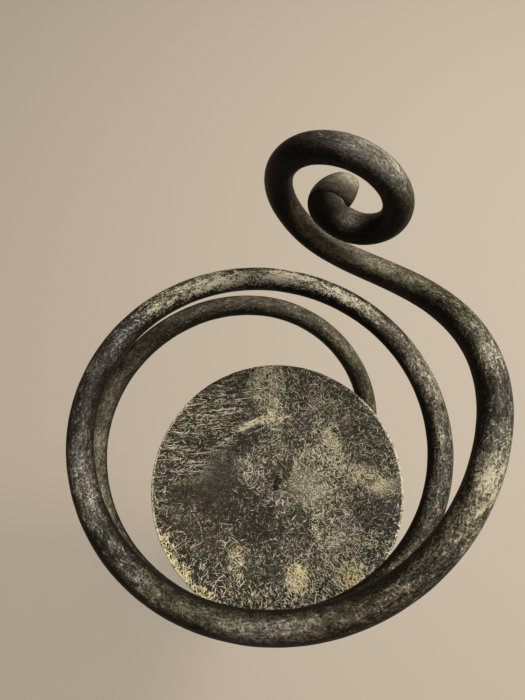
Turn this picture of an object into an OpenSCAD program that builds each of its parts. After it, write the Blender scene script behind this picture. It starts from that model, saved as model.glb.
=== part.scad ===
// Wrought-iron torchere: a floor-standing candle stand.
// A round bar winds twice round the candle's space above a flat pan, sweeps up
// over the back and ends in an upright scroll. The bar's low end is collared to
// a plain stem, and three scrolled legs are collared round the stem's foot.
// Millimetres, +Z up. The origin is on the floor, at the middle of the stand's box.

/* [Bar stock] */
// Diameter of the round bar of the coil and of the legs
bar_d = 12.7; // [10:0.1:16]
// Diameter of the stem
stem_d = 16; // [13:0.5:22]
// Bevel at a cut end of the bar
end_bevel = 1.2; // [0.5:0.1:2]

/* [Candle pan] */
// Diameter of the candle pan
pan_d = 152; // [120:1:156]
// Thickness of the pan's sheet
pan_t = 3; // [2:0.1:5]
// Height of the pan's rim above the floor
pan_top = 880; // [650:5:1000]
// How far the pan's middle lies below its rim
pan_dish = 1.5; // [0.5:0.1:4]
// Diameter of the pan's flat middle
pan_flat_d = 64; // [40:1:100]
// Radius that rounds the pan's edge
pan_edge_r = 1; // [0.3:0.1:1]

/* [Pan fixing] */
// Diameter of the stem's tenon, which passes through the boss and the pan
tenon_d = 8; // [6:0.5:10]
// Diameter of the tenon's head, hammered flush into the pan
tenon_head_d = 12; // [11:0.5:16]
// Depth of the tenon's head in the pan
tenon_head_h = 1.6; // [1:0.1:1.8]
// Width of the comma-shaped pit that the hammering left in the tenon's head
pit_w = 3; // [2:0.1:4]
// Length of that pit
pit_len = 5.2; // [4:0.1:6]
// How far the pit's wide end reaches past the stem's axis
pit_back = 1.35; // [0.5:0.05:2]
// Direction in plan in which the pit narrows
pit_dir = 65; // [0:1:90]
// Depth of the pit at its wide end
pit_h = 1.6; // [0.5:0.1:3]
// Diameter of the boss where it meets the pan
boss_top_d = 42; // [30:1:60]
// Diameter of the boss where it meets the stem
boss_low_d = 22; // [22:0.5:30]
// Height of the boss
boss_h = 14; // [8:0.5:24]
// Height of the boss's upright rim
boss_rim_h = 4; // [2:0.5:6]

/* [Coil round the candle] */
// Offset of the coil's centre from the stem, to the right
coil_x = -7; // [-12:0.5:6]
// Offset of the coil's centre from the stem, to the back
coil_y = 17.5; // [8:0.5:20]
// Radius of the bar's centreline at angle zero
coil_r = 94; // [90:0.5:110]
// How much the radius shrinks in each turn
coil_taper = 5.3; // [0:0.1:6]
// How far the coil is out of round, as a radius
coil_oval_r = 1.7; // [0:0.1:3]
// Direction of the coil's long axis
coil_oval_dir = -15; // [-90:1:90]
// Height of the coil above the rim of the pan at angle zero, without its dip
coil_z = 15; // [10:0.5:30]
// Rise of the coil in each turn
coil_pitch = 40.5; // [30:0.5:60]
// Angle at which the coil leaves its root under the pan's edge
coil_from = 15; // [10:1:25]
// Angle at which the coil hands over to the neck
coil_to = 702; // [690:1:712]
// How far the coil's first stretch dips at angle zero
dip = 63; // [50:1:75]
// Angle at which that dip has run out
dip_to = 120; // [110:1:140]
// How far the coil's first stretch is drawn in at angle zero
tuck = 32; // [26:1:40]
// Angle at which that draw has run out
tuck_to = 90; // [80:1:110]
// Extra rise of the coil's last half turn
lift = 47; // [30:1:60]
// Angle at which the extra rise starts
lift_from = 548; // [530:1:570]
// Angle at which the extra rise would end
lift_to = 749; // [735:1:770]

/* [Scroll and neck] */
// Distance of the scroll's eye to the right of the stem
scroll_x = 32; // [20:0.5:45]
// Distance of the scroll's eye behind the stem
scroll_y = 98.5; // [90:0.5:115]
// Height of the scroll's eye above the rim of the pan
scroll_z = 140; // [130:1:175]
// Direction in plan of the scroll's upright plane
scroll_dir = -26.2; // [-40:0.2:-10]
// Radius at which the scroll begins
scroll_r = 33.7; // [30:0.1:40]
// Radius at which the scroll ends
scroll_end_r = 2.7; // [2.5:0.1:6]
// Angle in the scroll's plane at which it begins
scroll_from = 215; // [200:1:230]
// Angle that the scroll turns through
scroll_turn = 522; // [440:2:530]
// How far the scroll opens out where its tip is rolled in, as a radius
curl_swell_r = 2; // [0:0.1:3]
// Angle turned at which it begins to open out
curl_from = 193; // [180:1:230]
// Angle turned at which it is fully opened out
curl_full = 341; // [300:1:380]
// Angle turned at which it begins to close in again
curl_close = 455; // [400:1:470]
// Angle turned at which it would be closed in again
curl_to = 555; // [530:1:570]
// How far the scroll's last turn is set back, out of its plane
curl_set = 1.5; // [0:0.1:3]
// Angle turned at which that set begins
set_from = 269; // [240:1:290]
// Angle turned at which the set is full
set_full = 349; // [320:1:370]
// Angle turned at which the bar begins to come forward again
set_back = 402; // [380:1:420]
// Angle turned at which it is in its plane again
set_to = 512; // [480:1:520]
// Pull of the coil on the neck's curve
neck_start = 75; // [55:1:90]
// Pull of the scroll on the neck's curve
neck_end = 63; // [45:1:80]
// Thickness of the scroll's tip, which is hammered to a plate
tip_t = 3; // [2:0.1:6]
// Length of that plate
tip_flat = 13.3; // [8:0.1:20]
// Distance from the tip at which the bar has its full thickness
tip_len = 35; // [30:0.5:60]
// Width of the plate at its end
tip_w = 13.8; // [12:0.1:18]
// Length over which the plate's end is rounded
tip_round = 3.7; // [3:0.1:8]
// How much of the end's width and thickness that rounding takes, as a squared share
tip_round_share = 0.35; // [0.1:0.05:0.8]
// Distance from the tip of the plate's waist
waist_at = 16.6; // [14:0.1:20]
// Width at the waist
waist_w = 12.2; // [9:0.1:14]
// Distance from the tip at which the bar was upset and is widest
spread_at = 34; // [30:0.5:40]
// Width there
spread_w = 16.3; // [13:0.1:18]
// Distance from the tip at which the bar is plain again
spread_end = 80; // [60:1:100]

/* [Root of the coil] */
// Direction of the root's seat on the stem
root_dir = -60; // [-80:1:-40]
// Depth below the pan's rim at which the root meets the stem
root_drop = 150; // [130:1:200]
// Length of the root that lies along the stem
root_len = 70; // [60:1:120]
// Pull of the stem on the root's curve
root_start = 60; // [40:1:80]
// Pull of the coil on the root's curve
root_end = 60; // [40:1:75]

/* [Collars] */
// Thickness of a collar's strip
collar_t = 3; // [2:0.1:5]
// Height of the collars on the coil's root
root_collar_h = 14; // [8:0.5:20]
// Height of the collars on the legs
leg_collar_h = 20; // [10:0.5:30]
// Width of the seam where a collar's ends meet
seam_w = 0.8; // [0.4:0.1:1.5]

/* [Legs] */
// Distance of a foot from the stem's axis
foot_r = 160; // [150:1:240]
// Radius at which a foot's small scroll begins
foot_scroll_r = 17; // [15:0.5:22]
// Radius at which a foot's small scroll ends
foot_scroll_end_r = 8; // [7:0.5:9]
// Angle that a foot's small scroll turns through
foot_scroll_turn = 300; // [180:5:330]
// Height at which a leg leaves the stem
leg_knee_z = 150; // [130:1:200]
// Pull of the stem on the leg's curve
leg_knee_pull = 105; // [60:1:120]
// Pull of the floor on the leg's curve
leg_foot_pull = 90; // [50:1:110]
// Height of the eye of a leg's top scroll
leg_top_z = 300; // [270:1:380]
// Radius at which a leg's top scroll begins
leg_scroll_r = 27; // [25:0.5:34]
// Radius at which a leg's top scroll ends
leg_scroll_end_r = 7; // [6:0.5:8]
// Angle that a leg's top scroll turns through
leg_scroll_turn = 430; // [300:5:450]

/* [Foot glides] */
// Diameter of a glide
glide_d = 20; // [16:0.5:24]
// Thickness of a glide under the bar
glide_t = 3; // [2:0.1:6]
// How far a glide's saddle comes up beside the bar
glide_lip = 2.5; // [1:0.1:4]

/* [Stem] */
// Length of the stem's drop point below the legs' knees
drop_h = 44; // [25:1:60]
// Diameter of the drop point's round end
drop_d = 9; // [5:0.5:12]

/* [Fits] */
// Clearance between a bar and what it lies against or passes through
clearance = 0.3; // [0.2:0.05:0.5]
// Clearance round the stem's tenon and its head, which are hammered to fill their holes
rivet_clearance = 0.1; // [0.05:0.05:0.3]

/* [Hidden] */
$fn = 48;

iron = [0.20, 0.19, 0.16];
worn_iron = [0.42, 0.40, 0.31];
felt = [0.12, 0.11, 0.10];

bar_r = bar_d / 2;
stem_r = stem_d / 2;
pan_r = pan_d / 2;
seat_z = pan_top - pan_dish;
shoulder_z = seat_z - pan_t - boss_h;
bar_axis_r = stem_r + bar_r + clearance;
root_z = pan_top - root_drop;
foot_tip_r = foot_r + foot_scroll_r + bar_r;
stem_y = -(foot_tip_r / 2 - bar_r * cos(30)) / 2;
leg_dirs = [90, 210, 330];
foot_z = glide_t + bar_r;

coil_sides = 16;
leg_sides = 12;
coil_step = 6;
scroll_step = 12;
run_step = 9;

// ---- curves ------------------------------------------------------------

function unit(v) = v / norm(v);
function steps(length, step) = ceil(length / step);
function ease(t) = let (c = min(max(t, 0), 1)) c * c * (3 - 2 * c);
function blend(a, b, t) = a + (b - a) * t;
function square_of(v) = v * v;
function reversed(list) = [for (i = [len(list) - 1:-1:0]) list[i]];
function on_circle(r, a) = [r * cos(a), r * sin(a)];
function arc(middle, r, from, to, count) =
    [for (i = [0:count]) middle + on_circle(r, blend(from, to, i / count))];

function bezier(a, b, c, d, t) =
    a * pow(1 - t, 3) + b * 3 * t * pow(1 - t, 2) + c * 3 * t * t * (1 - t) + d * pow(t, 3);

// Points inside a curve from a to d, whose ends belong to its neighbours
function bezier_run(a, b, c, d) =
    let (n = steps(norm(b - a) + norm(c - b) + norm(d - c), run_step))
    [for (i = [1:n - 1]) bezier(a, b, c, d, i / n)];

// A flat spiral about [0, 0], from radius r0 to r1 while it turns from one angle to another
function spiral(r0, r1, from, turn) =
    let (n = steps(abs(turn), scroll_step))
    [for (i = [0:n]) on_circle(blend(r0, r1, i / n), from + turn * i / n)];

// ---- the coil's bar ----------------------------------------------------

function dip_at(u) = dip * square_of(max(dip_to - u, 0) / dip_to);
function tuck_at(u) = tuck * square_of(max(tuck_to - u, 0) / tuck_to);
function lift_at(u) = lift * ease((u - lift_from) / (lift_to - lift_from));
function coil_radius(u) =
    coil_r - coil_taper * u / 360 + coil_oval_r * cos(2 * (u - coil_oval_dir)) - tuck_at(u);
function coil_height(u) = pan_top + coil_z + coil_pitch * u / 360 - dip_at(u) + lift_at(u);
function coil_point(u) = [
    coil_x + coil_radius(u) * cos(u),
    coil_y + coil_radius(u) * sin(u),
    coil_height(u)
];
function coil_heading(u) = unit(coil_point(u + 0.5) - coil_point(u - 0.5));
coil_run = [
    let (n = steps(coil_to - coil_from, coil_step))
    for (i = [0:n]) coil_point(blend(coil_from, coil_to, i / n))
];

// The scroll stands in an upright plane: its flat x runs along scroll_across
scroll_across = [cos(scroll_dir), sin(scroll_dir), 0];
scroll_normal = [sin(scroll_dir), -cos(scroll_dir), 0];
scroll_eye = [scroll_x, scroll_y, pan_top + scroll_z];
function scroll_radius(v) =
    blend(scroll_r, scroll_end_r, v / scroll_turn)
    + curl_swell_r
        * ease((v - curl_from) / (curl_full - curl_from))
        * ease((curl_to - v) / (curl_to - curl_close));
function scroll_set(v) =
    -curl_set * ease((v - set_from) / (set_full - set_from)) * ease((set_to - v) / (set_to - set_back));
function scroll_point(v) =
    let (p = on_circle(scroll_radius(v), scroll_from - v))
    scroll_eye + p[0] * scroll_across + scroll_set(v) * scroll_normal + [0, 0, p[1]];
scroll_run = [
    let (n = steps(scroll_turn, scroll_step))
    for (i = [0:n]) scroll_point(scroll_turn * i / n)
];
neck_run = bezier_run(
    coil_point(coil_to),
    coil_point(coil_to) + neck_start * coil_heading(coil_to),
    scroll_run[0] - neck_end * unit(scroll_point(0.5) - scroll_point(0)),
    scroll_run[0]
);

root_seat = concat(on_circle(bar_axis_r, root_dir), root_z);
root_run = bezier_run(
    root_seat,
    root_seat + [0, 0, root_start],
    coil_run[0] - root_end * coil_heading(coil_from),
    coil_run[0]
);
root_tail = [for (t = [1:-1 / 7:0]) root_seat - [0, 0, t * root_len]];

coil_path = reversed(concat(root_tail, root_run, coil_run, neck_run, scroll_run));

// ---- a bar swept along a path ------------------------------------------

// A path with one more point just inside each end, for the bevel there
function bevelled(path) =
    let (n = len(path), a = unit(path[1] - path[0]), b = unit(path[n - 2] - path[n - 1]))
    concat(
        [path[0], path[0] + end_bevel * a],
        [for (i = [1:n - 2]) path[i]],
        [path[n - 1] + end_bevel * b, path[n - 1]]
    );

function heading(path, i) =
    unit(path[min(i + 1, len(path) - 1)] - path[max(i - 1, 0)]);

// The bar's sideways direction at each point, carried along without twist
function sideways(path, first) = [
    for (
        i = 0, s = unit(first - (first * heading(path, 0)) * heading(path, 0));
        i < len(path);
        i = i + 1,
        s = i < len(path)
            ? unit(s - (s * heading(path, i)) * heading(path, i))
            : s
    ) s
];

// Distance of each point from the path's first point, along the path
function run_lengths(path) = [
    for (
        i = 0, s = 0;
        i < len(path);
        i = i + 1,
        s = i < len(path) ? s + norm(path[i] - path[i - 1]) : s
    ) s
];

// wide and thick are the section's sizes at each point, sideways and across that
module swept_bar(path, first, wide, thick, sides) {
    n = len(path);
    side = sideways(path, first);
    points = [
        for (i = [0:n - 1])
            let (up = cross(heading(path, i), side[i]))
            for (k = [0:sides - 1])
                path[i]
                    + side[i] * (wide[i] / 2) * cos(360 * k / sides)
                    + up * (thick[i] / 2) * sin(360 * k / sides)
    ];
    walls = [
        for (i = [0:n - 2], k = [0:sides - 1])
            let (a = i * sides + k, b = i * sides + (k + 1) % sides)
            each [[a, b + sides, b], [a, a + sides, b + sides]]
    ];
    first_cap = [for (k = [0:sides - 1]) k];
    last_cap = [for (k = [sides - 1:-1:0]) (n - 1) * sides + k];
    polyhedron(points, concat([first_cap], walls, [last_cap]), convexity = 10);
}

// A round bar with bevelled ends
module round_bar(path, first, sides) {
    full = bevelled(path);
    n = len(full);
    sizes = [for (i = [0:n - 1]) i == 0 || i == n - 1 ? bar_d - 2 * end_bevel : bar_d];
    swept_bar(full, first, sizes, sizes, sides);
}

module at_stem() {
    translate([0, stem_y, 0]) children();
}

// ---- pieces ------------------------------------------------------------

// The pan: a dished disc, holed and countersunk for the stem's tenon
function pan_line(r) =
    pan_dish * square_of(max(r - pan_flat_d / 2, 0) / (pan_r - pan_flat_d / 2));

module candle_pan() {
    rise_steps = 8;
    radii = [for (i = [0:rise_steps]) blend(pan_flat_d / 2, pan_r - pan_edge_r, i / rise_steps)];
    hole_r = tenon_d / 2 + rivet_clearance;
    head_r = tenon_head_d / 2 + rivet_clearance;
    mid_z = seat_z + pan_line(pan_r - pan_edge_r);
    edge = [
        for (a = [60:-30:0]) [pan_r - pan_edge_r, mid_z - pan_edge_r] + on_circle(pan_edge_r, a),
        for (a = [0:-30:-60]) [pan_r - pan_edge_r, mid_z - pan_t + pan_edge_r]
            + on_circle(pan_edge_r, a)
    ];
    section = concat(
        [[hole_r, seat_z - pan_t], [hole_r, seat_z - tenon_head_h], [head_r, seat_z]],
        [for (r = radii) [r, seat_z + pan_line(r)]],
        edge,
        [for (r = reversed(radii)) [r, seat_z + pan_line(r) - pan_t]]
    );
    color(worn_iron) at_stem() rotate_extrude() polygon(section);
}

// The boss: a turned collar on the stem's shoulder that carries the pan
module pan_boss() {
    top_z = seat_z - pan_t;
    cove_r = (boss_top_d - boss_low_d) / 2;
    cove_h = boss_h - boss_rim_h;
    cove = [
        for (a = [0:15:90])
            [boss_top_d / 2 - cove_r * cos(a), shoulder_z + cove_h * sin(a)]
    ];
    bore_r = tenon_d / 2 + rivet_clearance;
    color(iron) at_stem() rotate_extrude() polygon(concat(
        [[bore_r, top_z], [bore_r, shoulder_z]],
        cove,
        [[boss_top_d / 2, top_z]]
    ));
}

// The stem: one round bar with a drop point below and a riveted tenon above
module stem() {
    nose_z = leg_knee_z - drop_h + drop_d / 2;
    point = [
        for (t = [0:1 / 8:1])
            [blend(stem_r, drop_d / 2, ease(t)), blend(leg_knee_z, nose_z, t)]
    ];
    nose = [for (a = [-15:-15:-90]) [0, nose_z] + on_circle(drop_d / 2, a)];
    color(iron) at_stem() difference() {
        union() {
            rotate_extrude() polygon(concat([[0, shoulder_z], [stem_r, shoulder_z]], point, nose));
            translate([0, 0, shoulder_z - clearance])
                cylinder(h = seat_z - shoulder_z + clearance, d = tenon_d);
            translate([0, 0, seat_z - tenon_head_h])
                cylinder(h = tenon_head_h, d1 = tenon_d, d2 = tenon_head_d);
        }
        for (t = [0, 0.35, 0.68, 1])
            let (
                d = blend(pit_w, pit_w / 3, t),
                deep = blend(pit_h, pit_h / 2, t),
                out = blend(pit_w / 2, pit_len - pit_w / 6, t) - pit_back
            )
            translate([out * cos(pit_dir), out * sin(pit_dir), seat_z - deep])
                cylinder(h = deep + clearance, d1 = d / 2, d2 = d);
    }
}

// Width of the coil's bar at a distance from its tip
function coil_width(s) =
    s < waist_at ? blend(tip_w, waist_w, ease(s / waist_at))
    : s < spread_at ? blend(waist_w, spread_w, ease((s - waist_at) / (spread_at - waist_at)))
    : blend(spread_w, bar_d, ease((s - spread_at) / (spread_end - spread_at)));
function coil_thickness(s) = blend(tip_t, bar_d, ease((s - tip_flat) / (tip_len - tip_flat)));

// The coil's bar: tail and root on the stem, two turns, neck, scroll, hammered tip
module coil_rod() {
    path = bevelled(coil_path);
    n = len(path);
    run = run_lengths(path);
    nose = [for (s = run) sqrt(1 - tip_round_share * square_of(max(tip_round - s, 0) / tip_round))];
    cut = [for (i = [0:n - 1]) i == n - 1 ? 2 * end_bevel : 0];
    wide = [for (i = [0:n - 1]) coil_width(run[i]) * nose[i] - cut[i]];
    thick = [for (i = [0:n - 1]) coil_thickness(run[i]) * nose[i] - cut[i]];
    color(iron) at_stem() swept_bar(path, scroll_normal, wide, thick, coil_sides);
}

// Outline at a distance round the stem and the root beside it, as a strap lies on them
function pair_outline(distance) =
    let (a = acos((stem_r - bar_r) / bar_axis_r))
    concat(
        arc([0, 0], stem_r + distance, a, 360 - a, 24),
        arc([bar_axis_r, 0], bar_r + distance, -a, a, 20)
    );

// A strip wrapped hot round the stem and the coil's root, its ends meeting behind the stem
module root_collar(z) {
    color(iron) at_stem() translate([0, 0, z]) rotate([0, 0, root_dir]) difference() {
        linear_extrude(root_collar_h) polygon(pair_outline(clearance + collar_t));
        translate([0, 0, -collar_t])
            linear_extrude(root_collar_h + 2 * collar_t) polygon(pair_outline(clearance));
        translate([-stem_r - 3 * collar_t, -seam_w / 2, -collar_t])
            cube([3 * collar_t, seam_w, root_collar_h + 2 * collar_t]);
    }
}

module coil_collar_upper() {
    root_collar(root_z - root_collar_h);
}

module coil_collar_lower() {
    root_collar(root_z - root_len + end_bevel + root_collar_h / 2);
}

// Outline at a distance round the three legs, which stand round the stem
function trio_outline(distance) = [
    for (a = leg_dirs) each arc(on_circle(bar_axis_r, a), bar_r + distance, a - 60, a + 60, 14)
];

// A strip wrapped hot round the three legs, its ends meeting on a side that faces back
module leg_collar(z) {
    color(iron) at_stem() translate([0, 0, z]) difference() {
        linear_extrude(leg_collar_h) polygon(trio_outline(clearance + collar_t));
        translate([0, 0, -collar_t])
            linear_extrude(leg_collar_h + 2 * collar_t) polygon(trio_outline(clearance));
        rotate([0, 0, leg_dirs[0] + 60]) translate([stem_r + bar_r / 2, -seam_w / 2, -collar_t])
            cube([bar_axis_r, seam_w, leg_collar_h + 2 * collar_t]);
    }
}

module leg_collar_upper() {
    leg_collar(leg_top_z - leg_scroll_r - leg_collar_h);
}

module leg_collar_lower() {
    leg_collar(leg_knee_z);
}

// A leg in its own upright plane: flat x is the distance from the stem's axis
leg_scroll_run = [
    for (p = spiral(leg_scroll_end_r, leg_scroll_r, 180 - leg_scroll_turn, leg_scroll_turn))
        [bar_axis_r + leg_scroll_r, leg_top_z] + p
];
foot_run = [
    for (p = spiral(foot_scroll_r, foot_scroll_end_r, -90, foot_scroll_turn))
        [foot_r, foot_z + foot_scroll_r] + p
];
leg_straight = [
    let (n = steps(leg_top_z - leg_knee_z, run_step * 2))
    for (i = [1:n]) [bar_axis_r, blend(leg_top_z, leg_knee_z, i / n)]
];
leg_sweep = bezier_run(
    [bar_axis_r, leg_knee_z],
    [bar_axis_r, leg_knee_z - leg_knee_pull],
    [foot_r - leg_foot_pull, foot_z],
    [foot_r, foot_z]
);
leg_outline = concat(leg_scroll_run, leg_straight, leg_sweep, foot_run);

module leg(dir) {
    path = [for (p = leg_outline) [p[0] * cos(dir), p[0] * sin(dir), p[1]]];
    color(iron) at_stem() round_bar(path, [-sin(dir), cos(dir), 0], leg_sides);
}

module leg_back() {
    leg(leg_dirs[0]);
}

module leg_left() {
    leg(leg_dirs[1]);
}

module leg_right() {
    leg(leg_dirs[2]);
}

// A glide: a stiff felt pad with a saddle that takes the underside of the bar
module glide(dir) {
    color(felt) at_stem() rotate([0, 0, dir]) translate([foot_r, 0, 0]) difference() {
        cylinder(h = glide_t + glide_lip, d = glide_d);
        translate([-glide_d, 0, foot_z])
            rotate([0, 90, 0]) cylinder(h = 2 * glide_d, r = bar_r + clearance / 2);
    }
}

module glide_back() {
    glide(leg_dirs[0]);
}

module glide_left() {
    glide(leg_dirs[1]);
}

module glide_right() {
    glide(leg_dirs[2]);
}

candle_pan();
pan_boss();
stem();
coil_rod();
coil_collar_upper();
coil_collar_lower();
leg_back();
leg_left();
leg_right();
leg_collar_upper();
leg_collar_lower();
glide_back();
glide_left();
glide_right();
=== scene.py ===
import math

import bpy
import numpy as np
from mathutils import Matrix, Vector


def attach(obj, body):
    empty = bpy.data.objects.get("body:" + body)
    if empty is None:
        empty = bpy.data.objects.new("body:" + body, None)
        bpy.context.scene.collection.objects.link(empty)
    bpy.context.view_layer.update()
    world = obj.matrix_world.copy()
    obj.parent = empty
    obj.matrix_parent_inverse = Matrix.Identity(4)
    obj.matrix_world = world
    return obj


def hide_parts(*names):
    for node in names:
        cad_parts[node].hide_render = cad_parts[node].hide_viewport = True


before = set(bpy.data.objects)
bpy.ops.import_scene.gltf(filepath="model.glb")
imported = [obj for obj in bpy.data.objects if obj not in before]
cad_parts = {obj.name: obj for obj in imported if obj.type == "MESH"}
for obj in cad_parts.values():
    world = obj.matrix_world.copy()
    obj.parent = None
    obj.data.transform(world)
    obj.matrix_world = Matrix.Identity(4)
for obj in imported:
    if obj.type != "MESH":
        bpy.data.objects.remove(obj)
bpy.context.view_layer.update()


# ---------------------------------------------------------------------------
# Foot glides: three stiff pads of pressed black felt, one under each foot,
# with a saddle that takes the bar. They keep the iron off the floorboards.

MM = 0.001
STEM_Y = -43.09  # the stem's axis lies this far in front of the frame's origin

FELT_DARK = (0.010, 0.009, 0.008, 1)
FELT_LIGHT = (0.045, 0.041, 0.036, 1)


def new_finish(name):
    """A material with an empty tree but for its surface shader."""
    finish = bpy.data.materials.new(name)
    finish.use_nodes = True
    tree = finish.node_tree
    return finish, tree, tree.nodes["Principled BSDF"]


def step(tree, kind, inputs=None, **settings):
    """One shader node; an input given as a socket is wired, and any other is set."""
    n = tree.nodes.new("ShaderNode" + kind)
    for key, value in settings.items():
        setattr(n, key, value)
    for key, value in (inputs or {}).items():
        if isinstance(value, bpy.types.NodeSocket):
            tree.links.new(value, n.inputs[key])
        else:
            n.inputs[key].default_value = value
    return n


def calc(tree, operation, a, b=0.0, c=0.0):
    """A sum on single values."""
    return step(tree, "Math", {0: a, 1: b, 2: c}, operation=operation).outputs[0]


def calc3(tree, operation, a, b=(0, 0, 0), c=(0, 0, 0)):
    """The same on places or colours, part by part."""
    return step(tree, "VectorMath", {0: a, 1: b, 2: c}, operation=operation).outputs[0]


def fade(tree, value, low, high):
    """0 below low and 1 above high, with soft ends; low may be the larger."""
    n = step(tree, "MapRange", {0: value, 1: low, 2: high}, interpolation_type="SMOOTHSTEP")
    return n.outputs[0]


def cloud(tree, place, per_mm, detail=3.0, rough=0.55, dims="3D"):
    """Soft random patches from 0 to 1, about per_mm of them to the millimetre."""
    n = step(tree, "TexNoise", {"Vector": place, "Scale": per_mm, "Detail": detail,
                                "Roughness": rough}, noise_dimensions=dims)
    return n.outputs[0]


def tint(tree, amount, a, b):
    """Colour a where amount is 0, and b where it is 1."""
    return step(tree, "Mix", {0: amount, 6: a, 7: b}, data_type="RGBA").outputs[2]


def emboss(tree, skin, height, strength, depth):
    """Fine relief in the surface, depth millimetres deep."""
    bumps = step(tree, "Bump", {"Height": height, "Strength": strength, "Distance": depth * MM})
    tree.links.new(bumps.outputs[0], skin.inputs["Normal"])


def in_mm(tree):
    """The place on the object in millimetres, with the stem's axis at x = y = 0."""
    here = step(tree, "TexCoord").outputs["Object"]
    return calc3(tree, "MULTIPLY_ADD", here, (1 / MM,) * 3, (0, -STEM_Y, 0))


def pressed_felt():
    """Black felt with paler fibres, in clumps."""
    finish, tree, skin = new_finish("pressed_felt")
    place = in_mm(tree)
    fibres = cloud(tree, place, per_mm=1.6, detail=6.0, rough=0.75)
    clumps = cloud(tree, place, per_mm=0.35, detail=2.0)
    paler = fade(tree, calc(tree, "MULTIPLY_ADD", clumps, 0.4, fibres), 0.45, 0.95)
    tree.links.new(tint(tree, paler, FELT_DARK, FELT_LIGHT), skin.inputs["Base Color"])
    skin.inputs["Roughness"].default_value = 0.95
    skin.inputs["Sheen Weight"].default_value = 0.35
    emboss(tree, skin, fibres, strength=0.6, depth=0.4)
    return finish


def dress(node, finish):
    """Gives a CAD piece its finish; its shape stays as it is."""
    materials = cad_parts[node].data.materials
    materials.clear()
    materials.append(finish)


FELT = pressed_felt()
for node in ("glide_back", "glide_left", "glide_right"):
    dress(node, FELT)


# ---------------------------------------------------------------------------
# Legs: three round bars bent hot over a jig. Each has a scroll at its top, a
# straight run beside the stem, a sweep out to the foot and a small foot scroll.

BAR_D = 12.7
STEM_D = 16.0
CLEARANCE = 0.3
BAR_AXIS_R = STEM_D / 2 + BAR_D / 2 + CLEARANCE
GLIDE_T = 3.0
FOOT_R = 160.0
FOOT_Z = GLIDE_T + BAR_D / 2
FOOT_SCROLL_R = 17.0
FOOT_SCROLL_END_R = 8.0
FOOT_SCROLL_TURN = 300
LEG_KNEE_Z = 150.0
LEG_KNEE_PULL = 105.0
LEG_FOOT_PULL = 90.0
LEG_TOP_Z = 300.0
LEG_SCROLL_R = 27.0
LEG_SCROLL_END_R = 7.0
LEG_SCROLL_TURN = 430
LEG_END_ROUND = 2.5
LEG_STEP = 2.5
LEG_DIRS = {"leg_back": 90.0, "leg_left": 210.0, "leg_right": 330.0}

# black iron, khaki and cream, one after another as more was rubbed on, and as more light is painted on the
# lit sides
IRON_SHADES = (
    (0.0, (0.0085, 0.0076, 0.0048, 1)),
    (0.25, (0.0225, 0.0206, 0.0143, 1)),
    (0.5, (0.072, 0.067, 0.052, 1)),
    (0.75, (0.22, 0.209, 0.172, 1)),
    (1.0, (0.62, 0.59, 0.49, 1)))
IRON_COOL = (0.995, 0.985, 1.04)
IRON_WARM = (1.04, 1.0, 0.84)
IRON_TONE = 0.06
IRON_MARKS_MEAN = 3.22  # what the weighed marks come to on average
# the brush marks on a bar: their way off the bar's own, in degrees, and their length
IRON_STROKES = ((3, 6.0), (-10, 5.5), (16, 5.0), (-26, 4.5), (40, 4.0), (75, 3.4))
RUBBED_AND_LIT_SIDE = (0.3, -0.1, 0.95)  # the way that the side faces which the cloth met, turned toward the light, so that this side is also painted lighter as a highlight


def unit(v):
    """The direction of v, one long."""
    return v / np.linalg.norm(v)


def toward(way):
    """The level direction that lies way degrees round from the right."""
    return np.array([math.cos(math.radians(way)), math.sin(math.radians(way)), 0])


def bend(a, b, c, d, count=240):
    """A bar's free bend: from a towards b, and out of c into d."""
    t = np.linspace(0, 1, count)[:, None]
    return a * (1 - t) ** 3 + 3 * b * t * (1 - t) ** 2 + 3 * c * t * t * (1 - t) + d * t ** 3


def scroll(r0, r1, start, turn, count=500):
    """A flat scroll round its own middle: radius r0 to r1, over turn degrees."""
    t = np.linspace(0, 1, count)
    angle = np.radians(start + turn * t)
    return (r0 + (r1 - r0) * t)[:, None] * np.stack([np.cos(angle), np.sin(angle)], 1)


def run_lengths(path):
    """How far along the path each of its points lies."""
    return np.r_[0, np.cumsum(np.linalg.norm(np.diff(path, axis=0), axis=1))]


def evenly(points, spacing):
    """The same line with its points an even distance apart."""
    apart = np.linalg.norm(np.diff(points, axis=0), axis=1) > 1e-6
    points = points[np.r_[True, apart]]
    run = run_lengths(points)
    at = np.linspace(0, run[-1], int(run[-1] / spacing) + 1)
    return np.stack([np.interp(at, run, points[:, k]) for k in range(3)], 1)


def round_section(path, end_round):
    """A full round bar's size at each point, drawn in at both of its ends."""
    run = run_lengths(path)
    end = np.minimum(run, run[-1] - run)
    return BAR_D - 2 * np.clip(end_round - end, 0, end_round)


def hammered(at, rng, waves, count):
    """Dents over the points at: ripples laid any way over one another, count of
    each kind in waves, which gives their length and their depth."""
    dents = np.zeros(at.shape[:-1])
    for length, depth in waves:
        for _ in range(count):
            way = rng.normal(size=at.shape[-1])
            way *= 2 * np.pi / (length * np.linalg.norm(way))
            dents += np.sin(at @ way + rng.uniform(0, 6.28)) * depth
    return dents


def ring_faces(rings, around, closed=False):
    """Four-sided faces from ring to ring; closed joins the last ring to the first."""
    i, k = np.meshgrid(np.arange(rings if closed else rings - 1), np.arange(around), indexing="ij")
    near = i * around
    far = (i + 1) % rings * around
    beside = (k + 1) % around
    return np.stack([near + k, far + k, far + beside, near + beside], -1).reshape(-1, 4).tolist()


def new_piece(name, points, faces):
    """A smooth piece in the scene; points are in millimetres from the stem's foot."""
    mesh = bpy.data.meshes.new(name)
    mesh.from_pydata(((points + [0, STEM_Y, 0]) * MM).tolist(), [], faces)
    mesh.update()
    mesh.shade_smooth()
    piece = bpy.data.objects.new(name, mesh)
    bpy.context.scene.collection.objects.link(piece)
    return piece


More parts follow.
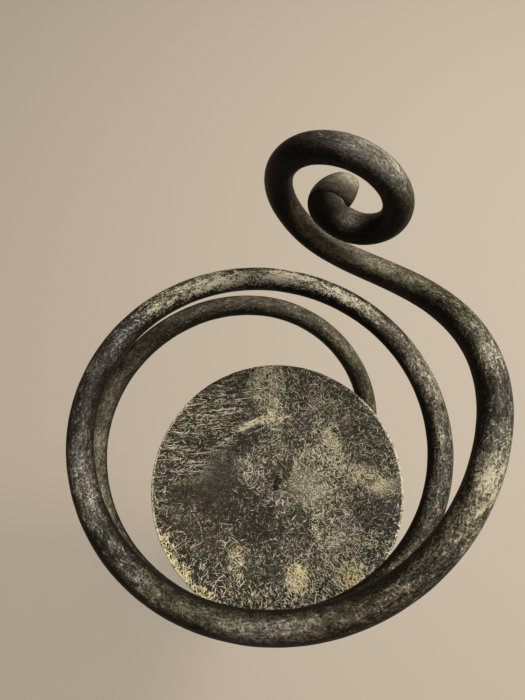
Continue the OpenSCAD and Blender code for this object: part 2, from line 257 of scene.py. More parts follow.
def forge_bar(name, path, first_side, width, depth, around, seed, dents):
    """A round bar along path, in millimetres from the stem's foot. Its section is
    width by depth at each point. Light hammer marks of size dents cover it."""
    ahead = np.gradient(path, axis=0)
    ahead /= np.linalg.norm(ahead, axis=1)[:, None]
    side = np.empty_like(path)
    s = np.asarray(first_side, float)
    for i, way in enumerate(ahead):
        s = unit(s - (s @ way) * way)
        side[i] = s
    up = np.cross(ahead, side)
    # the bar as it was before bending: x is its run, y and z lie across it
    run = run_lengths(path)
    turn = 2 * np.pi * np.arange(around) / around
    straight = np.stack([
        np.repeat(run[:, None], around, 1),
        width[:, None] / 2 * np.cos(turn),
        depth[:, None] / 2 * np.sin(turn)], -1)
    # the longer ripples are the deeper ones, and none stands out past the round bar
    waves = [(length, math.sqrt(length / 38) * dents / 9) for length in (38, 24, 15, 10, 7)]
    marks = hammered(straight, np.random.default_rng(seed), waves, 5)
    marks = np.clip(marks, -2 * dents, 0.6 * dents) - 0.6 * dents
    thin = np.minimum(depth, width) / BAR_D
    out = 1 + marks * thin[:, None] / (BAR_D / 2)
    rings = (path[:, None] + side[:, None] * (straight[..., 1] * out)[..., None]
             + up[:, None] * (straight[..., 2] * out)[..., None])
    points = np.concatenate([rings.reshape(-1, 3), path[[0, -1]]])
    first = len(path) * around
    last = first + 1
    low = first - around
    ends = [[first, k, (k + 1) % around] for k in range(around)]
    ends += [[last, low + (k + 1) % around, low + k] for k in range(around)]
    bar = new_piece(name, points, ring_faces(len(path), around) + ends)
    place = np.concatenate([straight.reshape(-1, 3), [[run[0], 0, 0], [run[-1], 0, 0]]])
    kept = bar.data.attributes.new("bar_place", "FLOAT_VECTOR", "POINT")
    kept.data.foreach_set("vector", place.ravel())
    return bar


def lightest(tree, values):
    """The largest of several values at each place."""
    most = values[0]
    for value in values[1:]:
        most = calc(tree, "MAXIMUM", most, value)
    return most


def weigh(tree, base, *parts):
    """base, plus each part times its weight."""
    total = base
    for value, weight in parts:
        total = calc(tree, "MULTIPLY_ADD", value, weight, total)
    return total


def blend(tree, amount, a, b):
    """Value a where amount is 0, and b where it is 1."""
    return step(tree, "Mix", {0: amount, 2: a, 3: b}).outputs[0]


def measure(tree, operation, a, b=(0, 0, 0)):
    """The single value that a vector sum gives, such as a length."""
    return step(tree, "VectorMath", {0: a, 1: b}, operation=operation).outputs["Value"]


def turned(tree, place, way):
    """The place seen along way, which is in degrees."""
    return step(tree, "VectorRotate", {"Vector": place, "Angle": -math.radians(way)},
                rotation_type="Z_AXIS").outputs[0]


def wavered(tree, flat, place, per_mm, reach):
    """A flat place pushed to and fro, so that marks laid on it bend a little."""
    push = step(tree, "TexNoise", {"Vector": place, "Scale": per_mm, "Detail": 1.0}).outputs["Color"]
    return calc3(tree, "MULTIPLY_ADD", push, (reach, reach, 0), flat)


def brushed(tree, place, width, strokes):
    """Brush marks laid over one another: near 0.67, and up to 0.9 on the lightest.
    strokes gives the way and the length of each layer."""
    layers = []
    for seed, (way, length) in enumerate(strokes):
        apart = (seed * 7.13 + way, seed * 3.71, 0)
        drawn_out = calc3(tree, "MULTIPLY_ADD", turned(tree, place, way), (1 / length, 1 / width, 0), apart)
        layers.append(cloud(tree, drawn_out, per_mm=1.0, detail=2.0, rough=0.6, dims="2D"))
    return lightest(tree, layers)


def shades(tree, value, stops):
    """Colours one after another along value; stops gives where each one lies."""
    n = step(tree, "ValToRGB", {0: value})
    line = n.color_ramp
    line.elements.remove(line.elements[1])
    line.elements[0].position, line.elements[0].color = stops[0]
    for at, colour in stops[1:]:
        line.elements.new(at).color = colour
    return n.outputs[0]


def veined(tree, place, per_mm, colour, cool, warm, warmer=0.0):
    """Carries the patina's colour slowly from a cooler to a warmer cast and back;
    warmer says where it leans to the warm one."""
    drift = calc(tree, "MULTIPLY_ADD", warmer, 0.2, cloud(tree, place, per_mm, rough=0.6))
    casts = [calc3(tree, "MULTIPLY", colour, cast) for cast in (cool, warm)]
    return tint(tree, fade(tree, drift, 0.38, 0.62), *casts)


def between(tree, value, low, high, soft=25):
    """1 from low to high and 0 outside, with soft ends."""
    return calc(tree, "MULTIPLY", fade(tree, value, low - soft, low + soft),
                fade(tree, value, high + soft, high - soft))


def waxed_skin(tree, skin, colour, mottle, relief, strength):
    """The iron's surface: its colour, an uneven waxed shine and fine relief."""
    tree.links.new(colour, skin.inputs["Base Color"])
    tree.links.new(calc(tree, "MULTIPLY_ADD", mottle, 0.22, 0.42), skin.inputs["Roughness"])
    skin.inputs["Specular IOR Level"].default_value = 0.15
    emboss(tree, skin, relief, strength, depth=0.3)


def rubbed_and_lit_bar(name, rub, stretches=(), calmer=(), rub_and_lit_sides=()):
    """Black iron bar, dry-brushed with khaki and waxed, with a painted highlight on its upper side where
    the light falls; rub is how much shows.
    stretches says where along the bar it is lighter or darker, mostly from rub and in one place from
    painted shade: middle, reach, how much.
    calmer says where the marks are fainter or browner: from, to, how much of each.
    The table of sides says where the rub keeps to one side, and where that side is also painted lighter as
    if lit while the rest is painted darker as if in shade: from, to, which way that side faces, where it
    starts to fade in, how much less lies beside it, and how much more on it."""
    finish, tree, skin = new_finish(name)
    bar = step(tree, "Attribute", attribute_name="bar_place").outputs["Vector"]
    axes = step(tree, "SeparateXYZ", {0: bar}).outputs
    run = axes[0]
    along = calc3(tree, "MULTIPLY", bar, (0.4, 1, 1))
    patches = cloud(tree, along, per_mm=0.08, rough=0.6)
    mottle = cloud(tree, along, per_mm=0.36, detail=4.0, rough=0.7)
    grain = cloud(tree, bar, per_mm=1.05, detail=4.0, rough=0.75)
    # the bar's skin laid flat: its run, and the way round it
    wrap = calc(tree, "MULTIPLY", calc(tree, "ARCTAN2", axes[2], axes[1]), BAR_D / 2)
    flat = step(tree, "CombineXYZ", {0: run, 1: wrap}).outputs[0]
    strokes = brushed(tree, wavered(tree, flat, bar, per_mm=0.3, reach=1.2), 0.8, IRON_STROKES)
    # the cloth took the upper side, a little more widely on the scroll than past it; that side faces the
    # light, and part of its lightness is a painted highlight
    outside = step(tree, "NewGeometry").outputs["Normal"]
    upper = measure(tree, "DOT_PRODUCT", outside, RUBBED_AND_LIT_SIDE)
    crest_rub_and_highlight = blend(tree, fade(tree, run, 240, 330),
                  fade(tree, upper, -0.2, 1.0), fade(tree, upper, -0.1, 0.95))
    marks = weigh(tree, -IRON_MARKS_MEAN, (strokes, 2.1), (grain, 1.5), (mottle, 1.05), (patches, 1.05))
    brown = 0.0
    for low, high, fainter, browner in calmer:
        within = between(tree, run, low, high)
        marks = calc(tree, "MULTIPLY", marks, calc(tree, "MULTIPLY_ADD", within, -fainter, 1.0))
        brown = calc(tree, "MULTIPLY_ADD", within, browner, brown)
    light = weigh(tree, IRON_TONE, (marks, 1.0), (crest_rub_and_highlight, 0.5 * rub))
    # on each of these stretches the side turned one way is painted lit and the rest is painted in shade,
    # over the rub
    for low, high, lean, edge, fewer, more in rub_and_lit_sides:
        facing = fade(tree, measure(tree, "DOT_PRODUCT", outside, lean), edge, 0.96)
        lit_and_shaded_band = calc(tree, "MULTIPLY_ADD", facing, more, -fewer)
        light = calc(tree, "MULTIPLY_ADD", lit_and_shaded_band, between(tree, run, low, high), light)
    for middle, reach, more in stretches:
        away = calc(tree, "ABSOLUTE", calc(tree, "SUBTRACT", run, middle))
        light = calc(tree, "MULTIPLY_ADD", fade(tree, away, reach, reach * 0.25), more, light)
    patina = veined(tree, along, 0.05, shades(tree, light, IRON_SHADES), IRON_COOL, IRON_WARM, brown)
    relief = weigh(tree, grain, (strokes, 0.8), (mottle, 0.9))
    waxed_skin(tree, skin, patina, mottle, relief, strength=0.6)
    return finish


def stand_for(piece, node, finish):
    """The piece takes the place of the CAD node, in its finish."""
    piece.data.materials.append(finish)
    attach(piece, "root")
    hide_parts(node)


LEG_IRON = rubbed_and_lit_bar("rubbed_and_lit_iron_legs", 0.75)
# a leg seen from its side: how far out, and how high
leg_shape = np.concatenate([
    [BAR_AXIS_R + LEG_SCROLL_R, LEG_TOP_Z]
    + scroll(LEG_SCROLL_END_R, LEG_SCROLL_R, 180 - LEG_SCROLL_TURN, LEG_SCROLL_TURN),
    [[BAR_AXIS_R, LEG_TOP_Z], [BAR_AXIS_R, LEG_KNEE_Z]],
    bend(*np.array([[BAR_AXIS_R, LEG_KNEE_Z], [BAR_AXIS_R, LEG_KNEE_Z - LEG_KNEE_PULL],
                    [FOOT_R - LEG_FOOT_PULL, FOOT_Z], [FOOT_R, FOOT_Z]])),
    [FOOT_R, FOOT_Z + FOOT_SCROLL_R] + scroll(FOOT_SCROLL_R, FOOT_SCROLL_END_R, -90, FOOT_SCROLL_TURN),
])
for number, (node, way) in enumerate(LEG_DIRS.items()):
    out = toward(way)
    path = evenly(leg_shape[:, :1] * out + leg_shape[:, 1:] * [0, 0, 1], LEG_STEP)
    thick = round_section(path, LEG_END_ROUND)
    leg = forge_bar(node + "_bar", path, (-out[1], out[0], 0), thick, thick,
                    around=28, seed=40 + number, dents=0.14)
    stand_for(leg, node, LEG_IRON)


# ---------------------------------------------------------------------------
# Collars on the legs: two straps wrapped hot round the three bars, so that
# they shrink tight. They are left forge-black, with a little wear.

STRAP_BLACK = (0.0075, 0.0070, 0.0060, 1)
STRAP_GREY = (0.050, 0.046, 0.036, 1)


def forge_black(name, dark, light, worn):
    """Iron with its forge scale, waxed: small pits, and wear here and there."""
    finish, tree, skin = new_finish(name)
    place = in_mm(tree)
    broad = cloud(tree, place, per_mm=0.06)
    scale = cloud(tree, place, per_mm=0.55, detail=5.0, rough=0.7)
    grain = cloud(tree, place, per_mm=2.2, rough=0.6)
    wear = fade(tree, calc(tree, "ADD", scale, broad), 1.12 - worn, 1.45 - worn)
    tree.links.new(tint(tree, wear, dark, light), skin.inputs["Base Color"])
    tree.links.new(calc(tree, "MULTIPLY_ADD", scale, 0.35, 0.30), skin.inputs["Roughness"])
    skin.inputs["Metallic"].default_value = 0.2
    emboss(tree, skin, calc(tree, "MULTIPLY_ADD", grain, 0.4, scale), strength=0.4, depth=0.4)
    return finish


STRAP = forge_black("forge_black_strap", STRAP_BLACK, STRAP_GREY, worn=0.10)
for node in ("leg_collar_upper", "leg_collar_lower"):
    dress(node, STRAP)


# ---------------------------------------------------------------------------
# Stem and boss: one round bar with a drop point at its foot. At the top its
# tenon passes the turned boss and the pan, and is hammered flush in the pan.

STEM_KHAKI = (0.075, 0.067, 0.045, 1)

STEM_IRON = forge_black("waxed_stem_iron", STRAP_BLACK, STEM_KHAKI, worn=0.16)
dress("stem", STEM_IRON)
dress("pan_boss", STEM_IRON)


# ---------------------------------------------------------------------------
# Candle pan: a disc of 3 mm sheet, hardly dished. Its top was blackened,
# scrubbed with a wire brush and rubbed with cream wax, which lies in patches.

PAN_TOP = 880.0
PAN_R = 76.0
PAN_T = 3.0
PAN_DISH = 1.5
PAN_FLAT_R = 32.0
PAN_EDGE_R = 1.0
PAN_SIDES = 360
TENON_HEAD_R = 6.0
NICKS = 120
NICKED_WAY = 142  # the upper left, where the rim's nicks are deepest

PAN_SHADES = (
    (0.0, (0.0160, 0.0143, 0.0092, 1)),
    (0.25, (0.0465, 0.0418, 0.0275, 1)),
    (0.5, (0.116, 0.107, 0.074, 1)),
    (0.75, (0.300, 0.281, 0.207, 1)),
    (1.0, (0.78, 0.71, 0.53, 1)))
RUST_BROWN = (0.040, 0.022, 0.010, 1)
PIT_BLACK = (0.006, 0.004, 0.001, 1)
PAN_COOL = (0.98, 1.01, 0.93)
PAN_WARM = (1.02, 0.985, 1.02)
SLATE_CAST = (0.95, 0.98, 1.12)
CREAM_CAST = (1.05, 1.0, 0.80)
PAN_TONE = -4.71

# brush marks on the pan, in layers: their way in degrees and their length
EVERY_WAY = ((4, 9.0), (25, 4.5), (47, 7.5), (68, 4.0), (91, 8.0), (112, 5.0), (134, 9.5), (157, 4.5))
ACROSS = ((2, 20.0), (-6, 11.0), (8, 15.0), (-14, 8.0), (17, 9.0), (35, 6.0), (-40, 5.0), (82, 4.5))
OUTWARD = ((0, 10.0), (20, 5.5), (-24, 8.5), (46, 5.0), (-58, 6.0), (80, 4.0))
OUTWARD_R = 64.0  # where the marks that run outward have their full width
STROKES_MEAN = 0.69

# places on the pan: x, y, half length, half width and way, from the stem's axis
ACROSS_AT = ((-50, 36, 46, 32, 42),)
HAZE_AT = ((18, -2, 16, 13, -30), (66, -4, 12, 5, 20), (-35, 5, 22, 13, 75))
WAX_AT = (
    (-69, -30, 7, 6, -60), (-65, -38, 10, 7, -60), (-57, -49, 10, 6, -50), (-45, -60, 12, 5, -38),
    (9, -53, 10, 7, 100), (40, -53, 10, 7, 8))
THIN_WAX_AT = (
    (-25, -43, 10, 5, 84), (35, 25, 9, 4.5, -60), (-3, 41, 12, 4, 14), (-18, 36, 9, 3, 26),
    (54, 2, 14, 6, -24))
SCRATCHES_AT = (
    (-8, -32.5, 6.5, 0.5, 14), (-24, -43, 9, 0.4, -38), (-16, 36, 11, 0.9, 24), (-14, 39, 9, 0.6, 27),
    (-10, 33.5, 8, 0.5, 20), (6, 40, 8, 0.6, 30), (-30, 53, 13, 0.8, 2), (-46, 44, 12, 0.8, -4),
    (-36, 47, 11, 0.7, 5), (-52, 51, 10, 0.7, 3), (-44, 38, 13, 0.7, 8), (-54, 33, 10, 0.7, -3),
    (-26, 45, 12, 0.7, 12), (-60, 24, 9, 0.7, 5), (-38, 57, 10, 0.7, -2))
SLATE_AT = ((-33, 2, 24, 14, 80), (-13, -18, 18, 12, -40), (-20, 26, 14, 7, 42), (56, -18, 14, 8, 20))
RUST_AT = ((-48, -20, 20, 18, 60), (5, 10, 6, 6, 0), (-46, 0, 12, 6, 0))
PIT_AT = ((-0.1, 1.2, 3.4, 1.4, 80), (-0.8, -1.7, 2.4, 2.0, 90))
# and patches lighter or darker than the rest, with how much: the brush and the rag left more in the lighter
# ones, and the two darkest, left of the stem at (-34, -4) and (-16, -19), only make the pan darker there
PATCHES_AT = (
    (-4, 62, 18, 13, 90, 0.54), (2, 42, 12, 9, 20, 0.25), (-46, 50, 20, 12, 0, 0.12),
    (34, 20, 13, 9, -55, 0.34), (32, 42, 18, 11, 90, 0.20), (25, 8, 26, 19, -20, 0.22),
    (52, 3, 20, 9, -28, 0.26), (30, -10, 18, 8, 0, 0.10), (34, -30, 17, 16, 0, 0.24),
    (-52, 12, 12, 9, 90, 0.14), (-14, 12, 12, 9, 0, 0.16), (-20, 35, 14, 4, 24, 0.20),
    (-34, -4, 24, 13, 80, -0.34), (-16, -19, 22, 14, -40, -0.52), (-18, 26, 15, 6, 42, -0.30),
    (-47, 28, 10, 7, 0, -0.28), (42, 62, 28, 9, -38, -0.20), (66, 30, 13, 8, 90, -0.16),
    (44, 29, 8, 6, 0, -0.10), (56, -17, 14, 7, 20, -0.10), (-2, -44, 9, 7, 90, -0.16),
    (26, -56, 30, 14, 16, 0.32), (10, -23, 13, 8, 0, -0.15), (-50, -6, 14, 8, 0, -0.28),
    (4, 8, 8, 6, 60, -0.40), (12, 26, 9, 6, 0, -0.18), (-40, 64, 16, 7, 30, -0.14),
    (-66, -12, 14, 7, 90, -0.12), (42, -36, 18, 13, 0, 0.33), (6, -66, 26, 9, 0, 0.24),
    (-24, -56, 20, 9, -16, 0.18))


def smooth(t):
    """From 0 to 1 as t does, with a soft start and end."""
    t = np.clip(t, 0, 1)
    return t * t * (3 - 2 * t)


def rim_nicks(turn, rng):
    """How deep the rim is nicked at each angle."""
    nicks = np.zeros_like(turn)
    for _ in range(NICKS):
        at = rng.uniform(0, 2 * np.pi)
        upper_left = math.exp(-((math.degrees(at) - NICKED_WAY) / 26) ** 2)
        depth = rng.uniform(0.02, 0.10) + upper_left * rng.uniform(0.0, 0.45)
        gap = np.abs((turn - at + np.pi) % (2 * np.pi) - np.pi) * PAN_R
        nicks = np.maximum(nicks, depth * np.exp(-(gap / rng.uniform(0.7, 1.8)) ** 2))
    return nicks


def pan_disc():
    """The disc from the tenon's head out to a rounded rim, dented and nicked a little."""
    full_r = PAN_R - PAN_EDGE_R
    out = np.concatenate([np.linspace(TENON_HEAD_R, full_r, num=84),
                          full_r + PAN_EDGE_R * np.sin(np.radians([25, 50, 75, 90]))])
    turn = 2 * np.pi * np.arange(PAN_SIDES) / PAN_SIDES
    r, a = np.meshgrid(out, turn, indexing="ij")
    rng = np.random.default_rng(11)
    waves = [(length, length / 46 * 0.055) for length in (46, 30, 20, 13)]
    dents = hammered(np.stack([r * np.cos(a), r * np.sin(a)], -1), rng, waves, 6)
    # none of them raises the flat, and they fade out round the tenon's head
    dents = (np.clip(dents, -0.3, 0.12) - 0.12) * smooth((r - 7) / 14)
    rise = PAN_DISH * (np.clip(r - PAN_FLAT_R, 0, None) / (PAN_R - PAN_FLAT_R)) ** 2
    edge = np.clip((r - full_r) / PAN_EDGE_R, 0, 1)
    drop = PAN_EDGE_R * (1 - np.sqrt(1 - edge ** 2 * 0.999))
    pull = rim_nicks(turn, rng) * np.clip((r - (PAN_R - 3)) / 3, 0, 1)
    x = (r - pull) * np.cos(a)
    y = (r - pull) * np.sin(a)
    line = PAN_TOP - PAN_DISH + rise
    upper = np.stack([x, y, line + dents - drop], -1)
    lower = np.stack([x, y, line - PAN_T + drop], -1)
    points = np.concatenate([upper.reshape(-1, 3), lower[::-1].reshape(-1, 3)])
    return new_piece("scrubbed_pan", points, ring_faces(2 * len(out), PAN_SIDES, closed=True))


def spot(tree, flat, ragged, x, y, long, wide, way):
    """A ragged patch, long along way and wide across it: 1 at its middle, 0 outside."""
    moved = calc3(tree, "ADD", flat, (-x, -y, 0))
    scaled = calc3(tree, "MULTIPLY", turned(tree, moved, way), (1 / long, 1 / wide, 0))
    return fade(tree, calc(tree, "ADD", measure(tree, "LENGTH", scaled), ragged), 1.25, 0.55)


def spots(tree, flat, ragged, places, raggedness=1.0):
    """Such a patch at each of the places."""
    ragged = calc(tree, "MULTIPLY", ragged, raggedness)
    return lightest(tree, [spot(tree, flat, ragged, *at) for at in places])


def pan_strokes(tree, flat, ragged):
    """Marks every way, with long ones across the upper left and others that run
    out to the low rim. In the haze they hardly show."""
    x, y, _ = step(tree, "SeparateXYZ", {0: flat}).outputs
    far = measure(tree, "LENGTH", flat)
    every_way = brushed(tree, wavered(tree, flat, flat, per_mm=0.16, reach=3.0), 0.78, EVERY_WAY)
    across = brushed(tree, flat, 0.75, ACROSS)
    round_it = calc(tree, "MULTIPLY", calc(tree, "ARCTAN2", y, x), OUTWARD_R)
    outward = brushed(tree, step(tree, "CombineXYZ", {0: far, 1: round_it}).outputs[0], 0.8, OUTWARD)
    upper_left = spots(tree, flat, ragged, ACROSS_AT, 0.6)
    low_rim = calc(tree, "MULTIPLY", fade(tree, far, 44, 62), fade(tree, y, -8, -34))
    # the marks across and outward stand out more than the others
    strokes = blend(tree, upper_left, every_way, calc(tree, "MULTIPLY_ADD", across, 1.25, -0.18))
    strokes = blend(tree, low_rim, strokes, calc(tree, "MULTIPLY_ADD", outward, 1.35, -0.24))
    haze = calc(tree, "MULTIPLY", spots(tree, flat, ragged, HAZE_AT), 0.6)
    return blend(tree, haze, strokes, STROKES_MEAN)


def scrubbed_pan():
    """Blackened sheet iron, scrubbed bright in fine marks and waxed in patches."""
    finish, tree, skin = new_finish("scrubbed_pan_iron")
    x, y, _ = step(tree, "SeparateXYZ", {0: in_mm(tree)}).outputs
    flat = step(tree, "CombineXYZ", {0: x, 1: y}).outputs[0]
    broad = cloud(tree, flat, per_mm=0.05, rough=0.5)
    mottle = cloud(tree, flat, per_mm=0.26, detail=5.0, rough=0.68)
    grain = cloud(tree, flat, per_mm=1.1, rough=0.7)
    ragged = calc(tree, "MULTIPLY_ADD", mottle, 1.3, -0.65)
    strokes = pan_strokes(tree, flat, ragged)
    much = calc(tree, "MULTIPLY_ADD", broad, 0.5, 0.20)
    for *at, more in PATCHES_AT:
        much = calc(tree, "MULTIPLY_ADD", spot(tree, flat, ragged, *at), more, much)
    much = step(tree, "Clamp", {0: much, 1: 0.0, 2: 1.0}).outputs[0]
    # the wax lies thicker on the brush marks than between them
    held = calc(tree, "MULTIPLY_ADD", fade(tree, strokes, 0.60, 0.78), 0.5, 0.72)
    wax = calc(tree, "MULTIPLY", spots(tree, flat, ragged, WAX_AT, 1.2), held)
    thin_wax = spots(tree, flat, ragged, THIN_WAX_AT, 1.2)
    scratches = spots(tree, flat, ragged, SCRATCHES_AT, 0.25)
    # the rim is lighter here and there, at its left and its right
    rim = calc(tree, "MULTIPLY", fade(tree, measure(tree, "LENGTH", flat), 74.2, 74.9),
               fade(tree, mottle, 0.30, 0.5))
    rim = calc(tree, "MULTIPLY", rim, fade(tree, calc(tree, "ABSOLUTE", x), 46, 64))
    light = weigh(tree, PAN_TONE, (strokes, 6.1), (grain, 1.3), (mottle, 0.3), (much, 0.7),
                  (wax, 0.70), (thin_wax, 0.26), (scratches, 0.42), (rim, 0.7))
    # only what faces up was scrubbed
    facing = step(tree, "SeparateXYZ", {0: step(tree, "NewGeometry").outputs["Normal"]}).outputs[2]
    colour = shades(tree, calc(tree, "MULTIPLY", light, fade(tree, facing, -0.1, 0.5)), PAN_SHADES)
    pit = fade(tree, spots(tree, flat, ragged, PIT_AT, 0.4), 0.1, 0.6)
    colour = tint(tree, pit, colour, PIT_BLACK)
    rust = calc(tree, "MULTIPLY", spots(tree, flat, ragged, RUST_AT), 0.25)
    colour = tint(tree, rust, colour, RUST_BROWN)
    colour = veined(tree, flat, 0.07, colour, PAN_COOL, PAN_WARM)
    slate = spots(tree, flat, ragged, SLATE_AT)
    colour = tint(tree, slate, colour, calc3(tree, "MULTIPLY", colour, SLATE_CAST))
    cream = lightest(tree, [wax, calc(tree, "MULTIPLY", thin_wax, 0.6)])
    colour = tint(tree, cream, colour, calc3(tree, "MULTIPLY", colour, CREAM_CAST))
    relief = weigh(tree, grain, (strokes, 0.8), (mottle, 0.8))
    waxed_skin(tree, skin, colour, mottle, relief, strength=0.4)
    return finish


PAN_IRON = scrubbed_pan()
stand_for(pan_disc(), "candle_pan", PAN_IRON)
# the tenon's flush head was scrubbed together with the pan
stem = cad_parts["stem"]
stem.data.materials.append(PAN_IRON)
for face in stem.data.polygons:
    if face.center.z > (PAN_TOP - PAN_DISH - 0.3) * MM:
        face.material_index = 1


# ---------------------------------------------------------------------------
# Coil bar: one 12.7 mm round bar. From its seat on the stem it passes under
# the pan's edge, winds two turns round the candle, sweeps up over the back
# and closes in an upright scroll, whose tip is hammered thin and rolled in.

COIL_X = -7.0
COIL_Y = 17.5
COIL_Z = 15
COIL_R = 94
COIL_TAPER = 5.3
COIL_OVAL_R = 1.7
COIL_OVAL_DIR = -15
COIL_PITCH = 40.5
COIL_FROM = 15
COIL_TO = 702

# the low end dips and tucks in under the pan, and the high end lifts
DIP = 63
DIP_TO = 120
TUCK = 32
TUCK_TO = 90
LIFT = 47
LIFT_FROM = 548
LIFT_TO = 749

# the bar's seat on the stem
ROOT_DIR = -60
ROOT_DROP = 150
ROOT_LEN = 70
ROOT_START = 60
ROOT_END = 60

# the scroll winds in an upright plane, swells a little and leans out of it
SCROLL_EYE = (32, 98.5, PAN_TOP + 140)
SCROLL_DIR = -26.2
SCROLL_R = 33.7
SCROLL_END_R = 2.7
SCROLL_FROM = 215
SCROLL_TURN = 522
CURL_SWELL_R = 2
CURL_FROM = 193
CURL_FULL = 341
CURL_CLOSE = 455
CURL_TO = 555
CURL_SET = 1.5
SET_FROM = 269
SET_FULL = 349
SET_BACK = 402
SET_TO = 512
NECK_START = 75
NECK_END = 63

# the plate at the tip, its waist, the upset part behind it, and the cut tail
TIP_T = 3
TIP_W = 13.8
TIP_FLAT = 13.3
TIP_LEN = 35
TIP_ROUND = 3.7
TIP_ROUND_SHARE = 0.35
WAIST_AT = 16.6
WAIST_W = 12.2
SPREAD_AT = 34
SPREAD_W = 16.3
SPREAD_END = 80
END_BEVEL = 1.2
COIL_STEP = 1.5

# the rub along the bar, in millimetres of its run from the scroll's tip, with painted shade in one place:
# the dark at 36 mm is a painted shadow under the tip's plate;
# the columns are those of the stretches that the bar's finish asks for
COIL_STRETCHES = (
    (4, 22, 0.20), (36, 14, -0.20), (105, 26, 0.12), (152, 34, -0.28), (225, 60, 0.30),
    (280, 30, 0.12), (300, 24, 0.10), (325, 16, -0.14), (362, 30, 0.28), (455, 30, 0.10),
    (505, 28, -0.06), (530, 18, -0.22), (566, 18, 0.14), (604, 42, -0.22), (672, 14, 0.20),
    (715, 60, 0.46), (745, 14, 0.06), (800, 80, 0.14), (1000, 40, 0.15), (1230, 120, -0.05))
COIL_CALMER = (
    (-50, 22, 0.75, 1.4), (22, 170, 0.42, -0.3), (170, 265, 0.42, 0.8), (410, 510, 0.25, 0.3),
    (520, 640, 0.0, -0.5), (650, 790, -0.70, 0.4), (1080, 1700, 0.25, 1.0))
# stretches of the coil where one side is painted lit and the rest is painted in shade, over the rub there
COIL_RUB_AND_LIT_SIDES = (
    (155, 290, (0.0, -0.35, 0.94), 0.45, 0.17, 0.25),
    (385, 432, (-0.18, 0.35, 0.92), 0.45, 0.20, 0.23),
    (432, 482, (0.06, 0.30, 0.95), 0.45, 0.30, 0.33),
    (482, 570, (0.28, 0.20, 0.94), 0.45, 0.26, 0.29),
    (645, 718, (0.0, -0.50, 0.87), 0.74, 0.24, 0.32),
    (718, 815, (0.08, -0.25, 0.965), 0.74, 0.34, 0.40))


def coil_at(u):
    """Points of the coil's centreline; u is the angle round it in degrees."""
    u = np.atleast_1d(np.asarray(u, float))
    tuck = TUCK * (np.clip(TUCK_TO - u, 0, None) / TUCK_TO) ** 2
    dip = DIP * (np.clip(DIP_TO - u, 0, None) / DIP_TO) ** 2
    lift = LIFT * smooth((u - LIFT_FROM) / (LIFT_TO - LIFT_FROM))
    oval = COIL_OVAL_R * np.cos(2 * np.radians(u - COIL_OVAL_DIR))
    r = COIL_R - COIL_TAPER * u / 360 + oval - tuck
    z = PAN_TOP + COIL_Z + COIL_PITCH * u / 360 - dip + lift
    return np.stack([COIL_X + r * np.cos(np.radians(u)), COIL_Y + r * np.sin(np.radians(u)), z], 1)


def coil_heading(u):
    """The way that the bar runs on at angle u."""
    return unit(coil_at(u + 0.5)[0] - coil_at(u - 0.5)[0])


def scroll_points(across, through):
    """The scroll's centreline, from the neck in to the tip. It lies in the upright
    plane of across, and through points out of that plane."""
    turn = np.linspace(0, SCROLL_TURN, num=1800)
    swell = (CURL_SWELL_R * smooth((turn - CURL_FROM) / (CURL_FULL - CURL_FROM))
             * smooth((CURL_TO - turn) / (CURL_TO - CURL_CLOSE)))
    lean = (CURL_SET * smooth((turn - SET_FROM) / (SET_FULL - SET_FROM))
            * smooth((SET_TO - turn) / (SET_TO - SET_BACK)))
    r = SCROLL_R - (SCROLL_R - SCROLL_END_R) * turn / SCROLL_TURN + swell
    way = np.radians(SCROLL_FROM - turn)
    return (SCROLL_EYE + np.outer(r * np.cos(way), across) + np.outer(r * np.sin(way), [0, 0, 1])
            - np.outer(lean, through))


def coil_path():
    """The whole bar's centreline from the scroll's tip to the tail on the stem, and
    the way that the plate at the tip is wide."""
    seat = BAR_AXIS_R * toward(ROOT_DIR) + [0, 0, PAN_TOP - ROOT_DROP]
    tail = [seat - [0, 0, ROOT_LEN], seat]
    turns = coil_at(np.linspace(COIL_FROM, COIL_TO, num=2750))
    root = bend(seat, seat + [0, 0, ROOT_START], turns[0] - ROOT_END * coil_heading(COIL_FROM), turns[0])
    across = toward(SCROLL_DIR)
    through = np.array([across[1], -across[0], 0])
    curl = scroll_points(across, through)
    neck = bend(turns[-1], turns[-1] + NECK_START * coil_heading(COIL_TO),
                curl[0] - NECK_END * unit(curl[1] - curl[0]), curl[0])
    whole = np.concatenate([tail, root, turns, neck, curl])[::-1]
    return evenly(whole, COIL_STEP), through


path, first_side = coil_path()
run = run_lengths(path)
nose = np.sqrt(1 - TIP_ROUND_SHARE * (np.clip(TIP_ROUND - run, 0, None) / TIP_ROUND) ** 2)
cut = 2 * np.clip(END_BEVEL - (run[-1] - run), 0, END_BEVEL)
plate_w = TIP_W + (WAIST_W - TIP_W) * smooth(run / WAIST_AT)
upset_w = (WAIST_W + (SPREAD_W - WAIST_W) * smooth((run - WAIST_AT) / (SPREAD_AT - WAIST_AT))
           + (BAR_D - SPREAD_W) * smooth((run - SPREAD_AT) / (SPREAD_END - SPREAD_AT)))
width = np.where(run < WAIST_AT, plate_w, upset_w) * nose - cut
depth = (TIP_T + (BAR_D - TIP_T) * smooth((run - TIP_FLAT) / (TIP_LEN - TIP_FLAT))) * nose - cut
COIL_IRON = rubbed_and_lit_bar("rubbed_and_lit_iron_coil", 1.0, COIL_STRETCHES, COIL_CALMER, COIL_RUB_AND_LIT_SIDES)
coil = forge_bar("coil_bar", path, first_side, width, depth, around=36, seed=7, dents=0.12)
stand_for(coil, "coil_rod", COIL_IRON)


# ---------------------------------------------------------------------------
# Collars on the coil's root: two straps that clasp the bar's tail to the
# stem, wrapped hot like those on the legs.

for node in ("coil_collar_upper", "coil_collar_lower"):
    dress(node, STRAP)


# ---------------------------------------------------------------------------
# The setting: a plain pale floor, soft light from high on the right and the
# back, and the camera above the pan, looking steeply down.

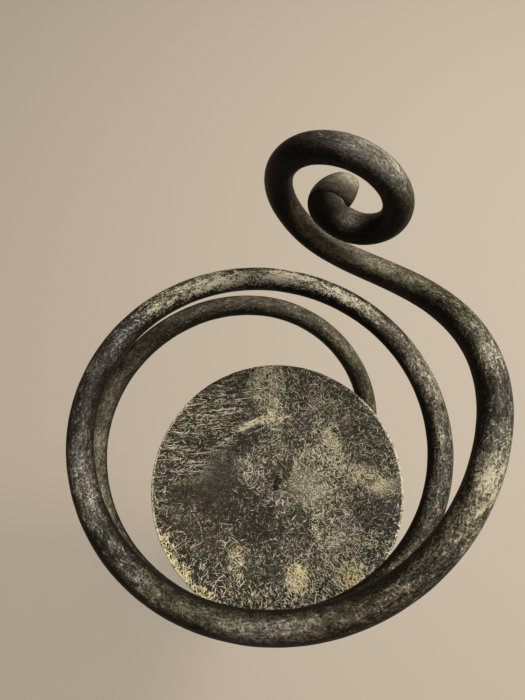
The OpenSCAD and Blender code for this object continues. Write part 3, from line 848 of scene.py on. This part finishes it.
FLOOR_PALE = (0.66, 0.585, 0.49, 1)
FLOOR_REACH = 6
KEY_AT = Vector((1.6, 0.7, 3.9))
KEY_AIM = Vector((0, 0, 0.9))
KEY_COLOUR = (1.0, 0.94, 0.86)
ROOM_COLOUR = (1.0, 0.93, 0.84, 1)
CAMERA_AT = Vector((-6.0, -40.8 + STEM_Y, 1204.0)) * MM
CAMERA_PITCH = math.radians(68.54)
CAMERA_ROLL = math.radians(-1.91)

floor_mesh = bpy.data.meshes.new("pale_floor")
floor_mesh.from_pydata(
    [(x * FLOOR_REACH, y * FLOOR_REACH, 0) for x, y in ((-1, -1), (1, -1), (1, 1), (-1, 1))],
    [], [(0, 1, 2, 3)])
floor = bpy.data.objects.new("pale_floor", floor_mesh)
bpy.context.scene.collection.objects.link(floor)
pale, tree, skin = new_finish("pale_floor")
skin.inputs["Base Color"].default_value = FLOOR_PALE
skin.inputs["Roughness"].default_value = 0.9
floor_mesh.materials.append(pale)

lamp = bpy.data.lights.new("key_light", "AREA")
lamp.shape = "DISK"
lamp.size = 2.2
lamp.energy = 160
lamp.color = KEY_COLOUR
key_light = bpy.data.objects.new("key_light", lamp)
key_light.location = KEY_AT
key_light.rotation_euler = (KEY_AIM - KEY_AT).to_track_quat("-Z", "Y").to_euler()
bpy.context.scene.collection.objects.link(key_light)

room = bpy.data.worlds.new("soft_room")
room.use_nodes = True
glow = room.node_tree.nodes["Background"]
glow.inputs["Color"].default_value = ROOM_COLOUR
glow.inputs["Strength"].default_value = 0.07
bpy.context.scene.world = room
bpy.context.scene.view_settings.view_transform = "Standard"

right = Vector((1, 0, 0))
up = Vector((0, math.sin(CAMERA_PITCH), math.cos(CAMERA_PITCH)))
back = Vector((0, -math.cos(CAMERA_PITCH), math.sin(CAMERA_PITCH)))
view_x = math.cos(CAMERA_ROLL) * right + math.sin(CAMERA_ROLL) * up
view_y = math.cos(CAMERA_ROLL) * up - math.sin(CAMERA_ROLL) * right
lens = bpy.data.cameras.new("camera")
lens.lens = 27.05
lens.sensor_width = 36
lens.clip_start = 0.01
camera = bpy.data.objects.new("camera", lens)
bpy.context.scene.collection.objects.link(camera)
camera.matrix_world = Matrix.Translation(CAMERA_AT) @ Matrix((view_x, view_y, back)).transposed().to_4x4()
bpy.context.scene.camera = camera
